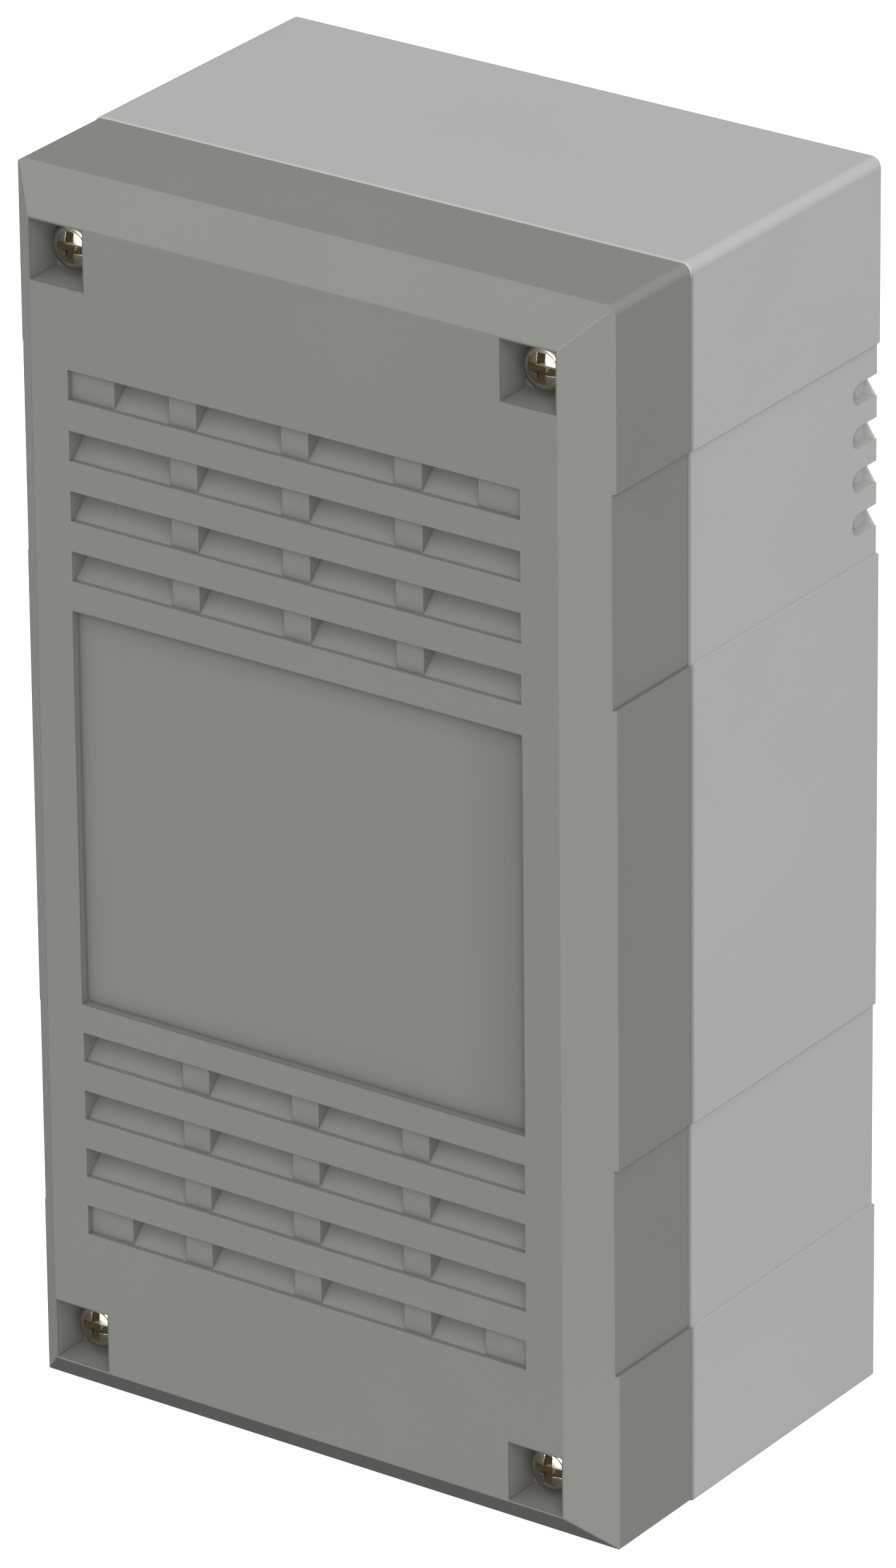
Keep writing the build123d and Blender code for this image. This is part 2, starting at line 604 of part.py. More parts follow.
def make_clamp_chambers(x, cage_up):
    """Hollows for a cage, its wire funnel and its screw, at both ends of a housing."""
    with BuildPart() as chambers:
        with BuildSketch(rail_view(x)):
            for end in (-1, 1):
                with Locations((end * cage_up, CAGE_MIDDLE)):
                    Rectangle(CAGE_LENGTH + 2 * CAGE_PLAY, CAGE_HEIGHT + 2 * CAGE_PLAY)
        extrude(amount=CAGE_WIDTH / 2 + CAGE_PLAY, both=True)
        with BuildSketch(rail_view(x)):
            for end in (-1, 1):
                with Locations((end * (cage_up + CHAMBER_LENGTH / 2), CAGE_MIDDLE)):
                    Rectangle(CHAMBER_LENGTH, ENTRY_FUNNEL)
        extrude(amount=ENTRY_FUNNEL / 2, both=True)
        with BuildSketch(facing(Y_RAIL_FRONT - CAGE_MIDDLE, RAIL_Z)):
            with Locations((x, -cage_up), (x, cage_up)):
                Circle(SCREW_ACCESS / 2)
        extrude(amount=2 * CHAMBER_LENGTH)
    return chambers


TERMINAL_CROWN = [(21, 1), (21, 20), (15, 29), (MARKER_LENGTH, TERMINAL_TALL)]
FUSE_CROWN = [(22, 1), (30, 6), (30, 19), (25, 28), (19, CHEEK_TOP)]


def make_terminal(x):
    """Feed-through terminal housing with a screw clamp at each end."""
    chambers = make_clamp_chambers(x, TERMINAL_CAGE)
    with BuildPart() as housing:
        with BuildSketch(rail_view(x)):
            with BuildLine():
                Polyline(*clip_outline(TERMINAL_CROWN), close=True)
            make_face()
        extrude(amount=TERMINAL_WIDTH / 2, both=True)
        add(chambers.part, mode=Mode.SUBTRACT)
        # slot for the current bar, and the marker slot on the crown
        with BuildSketch(rail_view(x)):
            with Locations((0, CAGE_MIDDLE - CAGE_WINDOW_HEIGHT / 2 + BAR_THICKNESS / 2)):
                Rectangle(2 * TERMINAL_CAGE, BAR_THICKNESS + 2 * CAGE_PLAY)
            with Locations((0, TERMINAL_TALL)):
                Rectangle(MARKER_LENGTH, 2 * MARKER_DEPTH)
        extrude(amount=BAR_WIDTH / 2 + CAGE_PLAY, both=True, mode=Mode.SUBTRACT)
    return housing


def make_fuse_base(x):
    """Fuse terminal housing: a channel between two cheeks holds the hinged lever."""
    chambers = make_clamp_chambers(x, FUSE_CAGE)
    with BuildPart() as housing:
        with BuildSketch(rail_view(x)):
            with BuildLine():
                Polyline(*clip_outline(FUSE_CROWN), close=True)
            make_face()
        extrude(amount=FUSE_WIDTH / 2, both=True)
        add(chambers.part, mode=Mode.SUBTRACT)
        with BuildSketch(rail_view(x)):
            with Locations((0, LEVER_DECK)):
                Rectangle(2 * LEVER_CHANNEL, CHEEK_TOP, align=(Align.CENTER, Align.MIN))
        extrude(amount=LEVER_SLOT / 2, both=True, mode=Mode.SUBTRACT)
        with BuildSketch(rail_view(x)):
            with Locations((LEVER_PIVOT_UP, LEVER_PIVOT_OUT)):
                Circle(LEVER_PIN / 2 + SLIP)
        extrude(amount=FUSE_WIDTH / 2, both=True, mode=Mode.SUBTRACT)
        # strips run from the cages to the two fuse contacts
        with BuildSketch(rail_view(x)):
            for cage_side in (-1, 1):
                with BuildLine():
                    Polyline(*strip_outline(cage_side, CAGE_PLAY), close=True)
                make_face()
        extrude(amount=BAR_WIDTH / 2 + CAGE_PLAY, both=True, mode=Mode.SUBTRACT)
    return housing


def strip_outline(cage_side, grow):
    """L-shaped strip: along the cage window, then straight out through the deck."""
    low = CAGE_MIDDLE - CAGE_WINDOW_HEIGHT / 2 - grow
    high = low + BAR_THICKNESS + 2 * grow
    out = LEVER_PIVOT_OUT - FUSE_DIAMETER / 2 - FUSE_PLAY
    contact_up = FUSE_CENTRE_UP + cage_side * CONTACT_REACH
    near = contact_up - cage_side * (BAR_THICKNESS / 2 + grow)
    far = contact_up + cage_side * (BAR_THICKNESS / 2 + grow)
    tail = cage_side * (FUSE_CAGE + CAGE_LENGTH / 2 - CAGE_PLAY)
    return [(near, low), (near, out), (far, out), (far, high), (tail, high), (tail, low)]


def make_cages(centres_and_reach):
    """Open steel cages, one at each end of every housing."""
    with BuildPart() as cages:
        for x, cage_up in centres_and_reach:
            with BuildSketch(rail_view(x)):
                for end in (-1, 1):
                    with Locations((end * cage_up, CAGE_MIDDLE)):
                        Rectangle(CAGE_LENGTH, CAGE_HEIGHT)
            extrude(amount=CAGE_WIDTH / 2, both=True)
            with BuildSketch(rail_view(x)):
                with Locations((0, CAGE_MIDDLE)):
                    Rectangle(2 * (cage_up + CAGE_LENGTH), CAGE_WINDOW_HEIGHT)
            extrude(amount=CAGE_WINDOW_WIDTH / 2, both=True, mode=Mode.SUBTRACT)
            with BuildSketch(facing(Y_RAIL_FRONT - CAGE_MIDDLE, RAIL_Z)):
                with Locations((x, -cage_up), (x, cage_up)):
                    Circle(CLAMP_SCREW_DIAMETER / 2 + SLIP)
            extrude(amount=CAGE_HEIGHT, mode=Mode.SUBTRACT)
    return cages


def make_clamp_screws(centres_and_reach):
    """Slotted clamp screws standing in the cages."""
    y_tip = Y_RAIL_FRONT - CAGE_MIDDLE
    y_shoulder = y_tip - CAGE_HEIGHT / 2 - CLAMP_NECK
    with BuildPart() as screws:
        for x, cage_up in centres_and_reach:
            with BuildSketch(facing(y_tip, RAIL_Z)):
                with Locations((x, -cage_up), (x, cage_up)):
                    Circle(CLAMP_SCREW_DIAMETER / 2)
            extrude(amount=y_tip - y_shoulder)
            with BuildSketch(facing(y_shoulder, RAIL_Z)):
                with Locations((x, -cage_up), (x, cage_up)):
                    Circle(CLAMP_HEAD_DIAMETER / 2)
            extrude(amount=CLAMP_HEAD_HEIGHT)
            with BuildSketch(facing(y_shoulder - CLAMP_HEAD_HEIGHT, RAIL_Z)):
                with Locations((x, -cage_up), (x, cage_up)):
                    Rectangle(CLAMP_HEAD_DIAMETER, CLAMP_SLOT)
            extrude(amount=-CLAMP_HEAD_HEIGHT / 2, mode=Mode.SUBTRACT)
    return screws


def make_lever(x):
    """Hinged fuse carrier, lying in its channel, with stub pins at the pivot."""
    tip = LEVER_PIVOT_UP - LEVER_REACH
    with BuildPart() as lever:
        with BuildSketch(rail_view(x)):
            with Locations((LEVER_PIVOT_UP, LEVER_PIVOT_OUT)):
                Circle(LEVER_NOSE)
            with BuildLine():
                Polyline(
                    (LEVER_PIVOT_UP, LEVER_PIVOT_OUT - LEVER_NOSE),
                    (LEVER_PIVOT_UP, LEVER_PIVOT_OUT + LEVER_NOSE),
                    (tip, LEVER_PIVOT_OUT + LEVER_NOSE),
                    (tip - LEVER_LIP, LEVER_PIVOT_OUT + LEVER_STEP),
                    (tip, LEVER_PIVOT_OUT + LEVER_STEP),
                    (tip + LEVER_STEP, LEVER_PIVOT_OUT - LEVER_NOSE + LEVER_STEP),
                    (tip + LEVER_TOE, LEVER_PIVOT_OUT - LEVER_NOSE + LEVER_STEP),
                    close=True,
                )
            make_face()
        extrude(amount=LEVER_WIDTH / 2, both=True)
        with BuildSketch(rail_view(x)):
            with Locations((LEVER_PIVOT_UP, LEVER_PIVOT_OUT)):
                Circle(LEVER_PIN / 2)
        extrude(amount=FUSE_WIDTH / 2 - SLIP, both=True)
        # cradle for the cartridge, open towards the contacts
        cradle = FUSE_DIAMETER / 2 + FUSE_PLAY
        cradle_start = RAIL_Z + FUSE_CENTRE_UP - FUSE_LENGTH / 2 - FUSE_PLAY
        with BuildSketch(Plane.XY.offset(cradle_start)):
            with Locations((x, Y_RAIL_FRONT - LEVER_PIVOT_OUT)):
                Circle(cradle)
            with Locations((x, Y_RAIL_FRONT - LEVER_PIVOT_OUT + LEVER_NOSE)):
                Rectangle(2 * cradle, 2 * LEVER_NOSE)
        extrude(amount=FUSE_LENGTH + 2 * FUSE_PLAY, mode=Mode.SUBTRACT)
    return lever


def make_fuse(x):
    """Cartridge fuse: glass tube between two end caps."""
    start = RAIL_Z + FUSE_CENTRE_UP - FUSE_LENGTH / 2
    axis_point = (x, Y_RAIL_FRONT - LEVER_PIVOT_OUT)
    with BuildPart() as fuse:
        with BuildSketch(Plane.XY.offset(start)):
            with Locations(axis_point):
                Circle(FUSE_GLASS / 2)
        extrude(amount=FUSE_LENGTH)
        for cap_start in (start, start + FUSE_LENGTH - FUSE_CAP):
            with BuildSketch(Plane.XY.offset(cap_start)):
                with Locations(axis_point):
                    Circle(FUSE_DIAMETER / 2)
            extrude(amount=FUSE_CAP)
    return fuse


def make_strips(x_centres):
    """Contact strips of the fuse terminals."""
    with BuildPart() as strips:
        for x in x_centres:
            with BuildSketch(rail_view(x)):
                for cage_side in (-1, 1):
                    with BuildLine():
                        Polyline(*strip_outline(cage_side, 0), close=True)
                    make_face()
            extrude(amount=BAR_WIDTH / 2, both=True)
    return strips


def make_plate(x, crown):
    """Thin closing plate of the same outline as the housing it covers."""
    with BuildPart() as plate:
        with BuildSketch(rail_view(x)):
            with BuildLine():
                Polyline(*clip_outline(crown), close=True)
            make_face()
        extrude(amount=PLATE_THICKNESS / 2, both=True)
    return plate


STOP_CROWN = [(20.5, 1), (20.5, 10), (12, STOP_TOP)]


def make_end_stop(x):
    """Screwed end stop that keeps the row of terminals together."""
    with BuildPart() as stop:
        with BuildSketch(rail_view(x)):
            with BuildLine():
                Polyline(*clip_outline(STOP_CROWN), close=True)
            make_face()
        extrude(amount=STOP_WIDTH / 2, both=True)
        with Locations(facing(Y_RAIL_FRONT - STOP_TOP, RAIL_Z)):
            with Locations((x, 0)):
                CounterBoreHole(
                    CLAMP_SCREW_DIAMETER / 2 + SLIP,
                    STOP_WELL_RADIUS,
                    STOP_WELL_DEPTH,
                    STOP_TOP + RAIL_SHEET,
                )
    return stop


# the row is laid out from left to right
cursor = -STACK_WIDTH / 2
stop_left_x = cursor + STOP_WIDTH / 2
cursor += STOP_WIDTH
fuse_centres = [cursor + (index + 0.5) * FUSE_WIDTH for index in range(FUSES)]
cursor += FUSES * FUSE_WIDTH
partition_x = cursor + PLATE_THICKNESS / 2
cursor += PLATE_THICKNESS
terminal_centres = [cursor + (index + 0.5) * TERMINAL_WIDTH for index in range(TERMINALS)]
cursor += TERMINALS * TERMINAL_WIDTH
earth_x = cursor + TERMINAL_WIDTH / 2
cursor += TERMINAL_WIDTH
cover_x = cursor + PLATE_THICKNESS / 2
cursor += PLATE_THICKNESS
stop_right_x = cursor + STOP_WIDTH / 2

for number, x in enumerate(terminal_centres, start=1):
    finish(make_terminal(x), f"terminal_block_{number}")
finish(make_terminal(earth_x), "earth_terminal")

for number, x in enumerate(fuse_centres, start=1):
    finish(make_fuse_base(x), f"fuse_base_{number}")
    finish(make_lever(x), f"fuse_lever_{number}")
    finish(make_fuse(x), f"cartridge_fuse_{number}")
finish(make_strips(fuse_centres), "fuse_contacts")

finish(make_plate(partition_x, FUSE_CROWN), "partition_plate")
finish(make_plate(cover_x, TERMINAL_CROWN), "end_cover_plate")
finish(make_end_stop(stop_left_x), "end_stop_left")
finish(make_end_stop(stop_right_x), "end_stop_right")

clamps = [(x, TERMINAL_CAGE) for x in terminal_centres + [earth_x]]
clamps += [(x, FUSE_CAGE) for x in fuse_centres]
finish(make_cages(clamps), "clamp_cages")
finish(make_clamp_screws(clamps), "clamp_screws")

with BuildPart() as current_bars:
    for x in terminal_centres + [earth_x]:
        with BuildSketch(rail_view(x)):
            with Locations((0, CAGE_MIDDLE - CAGE_WINDOW_HEIGHT / 2 + BAR_THICKNESS / 2)):
                Rectangle(2 * (TERMINAL_CAGE + CAGE_LENGTH / 2 - CAGE_PLAY), BAR_THICKNESS)
        extrude(amount=BAR_WIDTH / 2, both=True)
finish(current_bars, "current_bars")

y_stop_well = Y_RAIL_FRONT - STOP_TOP + STOP_WELL_DEPTH
with BuildPart() as end_stop_screws:
    for x in (stop_left_x, stop_right_x):
        with BuildSketch(facing(y_stop_well, RAIL_Z)):
            with Locations((x, 0)):
                Circle(STOP_HEAD_RADIUS)
        extrude(amount=STOP_HEAD_HEIGHT)
        with BuildSketch(facing(y_stop_well, RAIL_Z)):
            with Locations((x, 0)):
                Circle(CLAMP_SCREW_DIAMETER / 2)
        extrude(amount=-STOP_SCREW_LENGTH)
        with BuildSketch(facing(y_stop_well - STOP_HEAD_HEIGHT, RAIL_Z)):
            with Locations((x, 0)):
                Rectangle(2 * STOP_HEAD_RADIUS, CLAMP_SLOT)
        extrude(amount=-STOP_HEAD_SLOT, mode=Mode.SUBTRACT)
finish(end_stop_screws, "end_stop_screws")
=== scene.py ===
import json
import math

import bpy
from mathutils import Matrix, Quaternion, Vector

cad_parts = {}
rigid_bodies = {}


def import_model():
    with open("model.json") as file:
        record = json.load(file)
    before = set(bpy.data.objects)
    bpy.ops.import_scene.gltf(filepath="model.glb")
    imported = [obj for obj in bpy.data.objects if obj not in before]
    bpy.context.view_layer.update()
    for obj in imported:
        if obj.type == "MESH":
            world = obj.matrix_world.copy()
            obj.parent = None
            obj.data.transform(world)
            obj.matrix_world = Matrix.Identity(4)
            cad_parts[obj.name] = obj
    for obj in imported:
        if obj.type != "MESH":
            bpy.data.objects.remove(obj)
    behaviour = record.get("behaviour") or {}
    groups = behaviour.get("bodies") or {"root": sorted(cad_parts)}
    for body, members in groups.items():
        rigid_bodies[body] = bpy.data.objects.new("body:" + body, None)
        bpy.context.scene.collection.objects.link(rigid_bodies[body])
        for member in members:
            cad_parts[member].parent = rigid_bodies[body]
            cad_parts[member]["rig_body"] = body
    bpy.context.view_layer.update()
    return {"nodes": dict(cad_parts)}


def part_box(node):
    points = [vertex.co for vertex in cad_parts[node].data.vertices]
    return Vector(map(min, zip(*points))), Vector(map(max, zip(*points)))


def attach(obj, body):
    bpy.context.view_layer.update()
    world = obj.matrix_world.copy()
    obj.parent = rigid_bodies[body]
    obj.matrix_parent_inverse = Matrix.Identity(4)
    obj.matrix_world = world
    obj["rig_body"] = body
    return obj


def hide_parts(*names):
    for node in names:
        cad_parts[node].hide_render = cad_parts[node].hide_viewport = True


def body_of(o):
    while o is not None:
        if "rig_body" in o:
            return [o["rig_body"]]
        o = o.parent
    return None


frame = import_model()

NODES = frame["nodes"]
MM = 0.001

# Places on the enclosure that its painted shade and painted light follow.
JOINT_Y = -12.9 * MM
FRONT_Y = -38.7 * MM
MIDDLE_Z = 103.5 * MM
POCKET_CENTRE = (43.3 * MM, 91.7 * MM)        # from the middle of the front
POCKET_HALF = 4.95 * MM
FIELD_HALF = (41.7 * MM, 33.3 * MM)
FIELD_EDGE_SPAN = (0.01 * MM, 0.05 * MM)
SEAM_REACH = 0.8 * MM
RIM_SPAN = (0.12 * MM, 0.24 * MM)             # distance from a rim over which its shade ends
RIM_SHADE = 0.32
GAP_SPAN = (1.25 * MM, 1.29 * MM)             # depth at which the lighter tone round the plate begins
GAP_LIGHT = 1.4

# Camera: direction from the object, distance and lens, with the sensor's long side upright.
CAMERA_AZIMUTH = math.radians(35.142)
CAMERA_ELEVATION = math.radians(24.529)
CAMERA_ROLL = math.radians(-0.585)
CAMERA_DISTANCE = 1.8165
CAMERA_TARGET = Vector((0.0006, 0.0005, 0.1036))
CAMERA_LENS = 269.3
CAMERA_CLIP = (0.1, 20.0)
SENSOR_LONG_SIDE = 36.0

# Light: a key from the upper right of the front, most of it too wide to cast a shadow, an
# even fill, a weaker light on the back and left, which the photo's view doesn't see, and a
# light on the metal parts alone, which gives them their glint.
KEY_DIRECTION = Vector((0.508, -0.645, 0.570))
KEY_STRENGTH = 2.33
KEY_SHADOWED = 0.3            # share of the key that casts a soft shadow
KEY_SPREAD = math.radians(50.0)
FILL_STRENGTH = 0.32
REAR_DIRECTION = Vector((-0.59, 0.74, -0.32))
REAR_STRENGTH = 1.0
REAR_SPREAD = math.radians(35.0)
GLINT_DIRECTION = Vector((-0.17, -0.96, -0.06))
GLINT_STRENGTH = 2.2
GLINT_SPREAD = math.radians(9.0)
FLOOR_HALF = 6.0
FLOOR_GAP = 0.3 * MM          # the floor and the object's underside don't share a plane
FLOOR_GLOW = 0.62
SHINE_LOW = (-0.3, 0.16)      # height of a direction, and how bright it is to shiny surfaces
SHINE_HIGH = (0.9, 0.6)


# ---------------------------------------------------------------- materials

# Spans of a noise texture's values: nearly all of them, those a film takes, and the peaks alone.
NOISE_SPAN = (0.3, 0.7)
FILM_SPAN = (0.35, 0.7)
PEAK_SPAN = (0.62, 0.78)

# Painted shade: how a colour is darkened where a surface is shut in, in its corners and where it faces the
# floor.
AO_SAMPLES = 8
EDGE_SAMPLES = 6
CORNER_REACH = 0.5 * MM
CORNER_SPAN = (0.45, 0.95)    # openness of a corner, from its darkest to no shade
UNDER_SPAN = (-0.75, -0.3)    # a surface's upward lean, over which it gets the floor's shade
UNDER_TONE = 0.72


class Surface:
    """A material being built: a Principled shader and the nodes that drive it."""

    def __init__(self, name):
        self.material = bpy.data.materials.new(name)
        self.material.use_nodes = True
        self.tree = self.material.node_tree
        self.shader = self.tree.nodes["Principled BSDF"]
        self.place = self.add("ShaderNodeTexCoord").outputs["Object"]

    def add(self, kind, **settings):
        node = self.tree.nodes.new(kind)
        for key, value in settings.items():
            setattr(node, key, value)
        return node

    def feed(self, socket, value):
        """Links an output to a socket, or sets a plain value on it."""
        if isinstance(value, bpy.types.NodeSocket):
            self.tree.links.new(value, socket)
        else:
            socket.default_value = value

    def set(self, **values):
        """Plain values or outputs for the shader's own sockets, by name with _ for a space."""
        for key, value in values.items():
            self.feed(self.shader.inputs[key.replace("_", " ")], value)

    def stretched(self, scale):
        node = self.add("ShaderNodeMapping")
        self.feed(node.inputs["Vector"], self.place)
        self.feed(node.inputs["Scale"], scale)
        return node.outputs["Vector"]

    def noise(self, grain, detail=2.0, roughness=0.5, place=None):
        """Noise whose features are about grain metres across, from 0 to 1."""
        node = self.add("ShaderNodeTexNoise")
        self.feed(node.inputs["Vector"], place or self.place)
        self.feed(node.inputs["Scale"], 1.0 / grain)
        self.feed(node.inputs["Detail"], detail)
        self.feed(node.inputs["Roughness"], roughness)
        return node.outputs["Fac"]

    def remap(self, value, span, low=0.0, high=1.0):
        """A value that runs over a span, made to run from low to high and held there beyond it."""
        node = self.add("ShaderNodeMapRange")
        self.feed(node.inputs["Value"], value)
        self.feed(node.inputs["From Min"], span[0])
        self.feed(node.inputs["From Max"], span[1])
        self.feed(node.inputs["To Min"], low)
        self.feed(node.inputs["To Max"], high)
        return node.outputs["Result"]

    def blend(self, factor, first, second):
        """A colour between two, by a factor from 0 to 1."""
        node = self.add("ShaderNodeMix", data_type="RGBA")
        self.feed(node.inputs["Factor"], factor)
        self.feed(node.inputs["A"], first)
        self.feed(node.inputs["B"], second)
        return node.outputs["Result"]

    def darken(self, colour, factor):
        """A colour multiplied by a value."""
        node = self.add("ShaderNodeMix", data_type="RGBA", blend_type="MULTIPLY")
        self.feed(node.inputs["Factor"], 1.0)
        self.feed(node.inputs["A"], colour)
        self.feed(node.inputs["B"], factor)
        return node.outputs["Result"]

    def math(self, operation, first, second=0.0):
        node = self.add("ShaderNodeMath", operation=operation)
        self.feed(node.inputs[0], first)
        self.feed(node.inputs[1], second)
        return node.outputs["Value"]

    def occlusion(self, reach):
        """How open the surface is to what is round it: 1 in the open, 0 shut in."""
        node = self.add("ShaderNodeAmbientOcclusion", samples=AO_SAMPLES)
        self.feed(node.inputs["Distance"], reach)
        return node.outputs["AO"]

    def painted_occlusion_shade(self, colour, reach, broad, fine=0.45):
        """Painted shade: a colour made darker where the surface is shut in, gently over reach and in its
        corners.
        """
        round_about = self.remap(self.occlusion(reach), (0.0, 1.0), 1.0 - broad, 1.0)
        corner = self.remap(self.occlusion(CORNER_REACH), CORNER_SPAN, 1.0 - fine, 1.0)
        return self.darken(self.darken(colour, round_about), corner)

    def split(self, vector, axis):
        node = self.add("ShaderNodeSeparateXYZ")
        self.feed(node.inputs["Vector"], vector)
        return node.outputs[axis]

    def under(self, colour):
        """Painted shade: a colour made darker where the surface faces the floor."""
        up = self.split(self.add("ShaderNodeNewGeometry").outputs["Normal"], "Z")
        return self.darken(colour, self.remap(up, UNDER_SPAN, UNDER_TONE, 1.0))

    def extent(self, axis):
        """Place along one axis of the node's own box, from 0 to 1."""
        return self.split(self.add("ShaderNodeTexCoord").outputs["Generated"], axis)

    def soft_edges(self, radius):
        node = self.add("ShaderNodeBevel", samples=EDGE_SAMPLES)
        self.feed(node.inputs["Radius"], radius)
        return node.outputs["Normal"]

    def bump(self, height, depth, normal):
        node = self.add("ShaderNodeBump")
        self.feed(node.inputs["Height"], height)
        self.feed(node.inputs["Distance"], depth)
        self.feed(node.inputs["Strength"], 1.0)
        self.feed(node.inputs["Normal"], normal)
        return node.outputs["Normal"]


def shade(colour, factor=1.0):
    return (*(channel * factor for channel in colour), 1.0)


FLOW_GRAIN = 40 * MM
MOTTLE_GRAIN = 0.9 * MM
SPECK_STRENGTH = 0.12
SPECK_TONE = 0.8
PLASTIC_SWING = 0.05          # how far the roughness goes either way
SPARK_DEPTH = 0.012 * MM


def moulded_plastic(name, colour, roughness=0.55, variation=0.015, grain=0.25 * MM, edge=0.12 * MM,
                    reach=9 * MM, broad=0.4, fine=0.4, extra=None):
    """Injection-moulded plastic: flow marks, pigment mottle, spark-eroded grain, soft edges, and painted
    shade in recesses and where it faces the floor.

    The function extra, if given, returns one more value that the colour is multiplied by: painted shade and
    light at given places.
    """
    s = Surface(name)
    flow = s.remap(s.noise(FLOW_GRAIN, detail=3.0), NOISE_SPAN)
    mottle = s.noise(MOTTLE_GRAIN, detail=4.0, roughness=0.6)
    toned = s.blend(flow, shade(colour, 1 - variation), shade(colour, 1 + variation))
    specks = s.remap(mottle, PEAK_SPAN, 0.0, SPECK_STRENGTH)
    shaded = s.under(s.painted_occlusion_shade(s.blend(specks, toned, shade(colour, SPECK_TONE)), reach, broad, fine))
    if extra:
        shaded = s.darken(shaded, extra(s))
    s.set(Base_Color=shaded)
    s.set(Roughness=s.remap(mottle, NOISE_SPAN, roughness - PLASTIC_SWING, roughness + PLASTIC_SWING))
    s.set(Specular_IOR_Level=0.35, IOR=1.5)
    sparked = s.noise(grain, detail=3.0, roughness=0.65)
    s.set(Normal=s.bump(sparked, SPARK_DEPTH, s.soft_edges(edge)))
    return s.material


# Painted shade on the base's sides just behind the lid's joint, over these spans.
SIDE_SPAN = (53.2 * MM, 53.9 * MM)        # distance from the middle over which the side begins
TOP_SPAN = (204.6 * MM, 206.0 * MM)       # height over which the side ends and the top begins
SEAM_SPAN = (JOINT_Y, JOINT_Y + SEAM_REACH)
SEAM_SHADE = 0.64


def painted_joint_shade(s):
    """Painted shade on the base's two sides, just behind the joint with the lid."""
    side = s.remap(s.math("ABSOLUTE", s.split(s.place, "X")), SIDE_SPAN)
    below_top = s.remap(s.split(s.place, "Z"), TOP_SPAN, 1.0, 0.0)
    near = s.remap(s.split(s.place, "Y"), SEAM_SPAN, SEAM_SHADE, 0.0)
    return s.math("SUBTRACT", 1.0, s.math("MULTIPLY", near, s.math("MULTIPLY", side, below_top)))


def painted_rim_shade_and_gap_light(s):
    """Painted shade along the rims of the screw pockets and of the label field, and painted light deep in
    the field: in the gap round the label plate and, behind the plate, on the lid's inner face."""
    across = s.math("ABSOLUTE", s.split(s.place, "X"))
    along = s.math("ABSOLUTE", s.math("SUBTRACT", s.split(s.place, "Z"), MIDDLE_Z))
    depth = s.math("SUBTRACT", s.split(s.place, "Y"), FRONT_Y)

    def away(centre, half):
        """Distance from a rectangle's outline, less than 0 inside it."""
        beyond = [
            s.math("SUBTRACT", s.math("ABSOLUTE", s.math("SUBTRACT", place, middle)), reach)
            for place, middle, reach in zip((across, along), centre, half)
        ]
        return s.math("MAXIMUM", *beyond)

    pocket = away(POCKET_CENTRE, (POCKET_HALF, POCKET_HALF))
    field = away((0.0, 0.0), FIELD_HALF)
    nearest = s.math("MINIMUM", s.math("ABSOLUTE", pocket), s.math("ABSOLUTE", field))
    rim = s.remap(nearest, RIM_SPAN, RIM_SHADE, 0.0)
    at_front = s.remap(depth, RIM_SPAN, 1.0, 0.0)
    lined = s.math("SUBTRACT", 1.0, s.math("MULTIPLY", rim, at_front))
    in_gap = s.math("MULTIPLY", s.remap(field, FIELD_EDGE_SPAN, 1.0, 0.0), s.remap(depth, GAP_SPAN))
    return s.math("ADD", lined, s.math("MULTIPLY", in_gap, GAP_LIGHT))


FIELD_RIGHT_SPAN = (0.84, 1.0)
FIELD_RIGHT_SHADE = 0.16
FIELD_UPPER_SPAN = (0.93, 1.0)
FIELD_UPPER_SHADE = 0.10


def field_shade(s):
    """Painted shadow on the label plate towards the right and upper walls of its field."""
    right = s.remap(s.extent("X"), FIELD_RIGHT_SPAN, 0.0, FIELD_RIGHT_SHADE)
    upper = s.remap(s.extent("Z"), FIELD_UPPER_SPAN, 0.0, FIELD_UPPER_SHADE)
    return s.math("SUBTRACT", s.math("SUBTRACT", 1.0, right), upper)


def earth_plastic(name, green, yellow):
    """Polyamide moulded in two colours, side by side across the terminal's thickness, with painted shade in
    its recesses.
    """
    s = Surface(name)
    mottle = s.noise(0.8 * MM, detail=3.0)
    side = s.remap(s.extent("X"), (0.49, 0.51))
    halves = s.blend(side, shade(green), shade(yellow))
    speckled = s.blend(s.remap(mottle, (0.6, 0.8), 0.0, 0.15), halves, shade(green, 0.6))
    s.set(Base_Color=s.painted_occlusion_shade(speckled, 4 * MM, 0.5))
    s.set(Roughness=s.remap(mottle, NOISE_SPAN, 0.4, 0.5), Specular_IOR_Level=0.4)
    s.set(Normal=s.bump(s.noise(0.3 * MM), 0.01 * MM, s.soft_edges(0.15 * MM)))
    return s.material


TOOL_GRAIN = 0.12 * MM
TOOL_STRENGTH = 0.3
TOOL_TONE = 0.7
TOOL_DEPTH = 0.006 * MM


def machined_metal(name, colour, roughness, lines=(1.0, 1.0, 1.0), stain=0.85, edge=0.1 * MM):
    """Bare or plated metal: tool lines stretched by the lines scale, a patchy film, soft edges, painted
    shade in its recesses.
    """
    s = Surface(name)
    film = s.noise(2.2 * MM, detail=4.0, roughness=0.6)
    tool = s.noise(TOOL_GRAIN, detail=3.0, place=s.stretched(lines))
    filmed = s.blend(s.remap(film, FILM_SPAN), shade(colour), shade(colour, stain))
    cut = s.remap(tool, NOISE_SPAN, 0.0, TOOL_STRENGTH)
    lined = s.blend(cut, filmed, shade(colour, TOOL_TONE * stain))
    s.set(Base_Color=s.painted_occlusion_shade(lined, 2.5 * MM, 0.6), Metallic=1.0)
    film_rough = s.remap(film, NOISE_SPAN, -0.05, 0.05)
    tool_rough = s.remap(tool, NOISE_SPAN, roughness - 0.04, roughness + 0.06)
    s.set(Roughness=s.math("ADD", film_rough, tool_rough))
    s.set(Normal=s.bump(tool, TOOL_DEPTH, s.soft_edges(edge)))
    return s.material


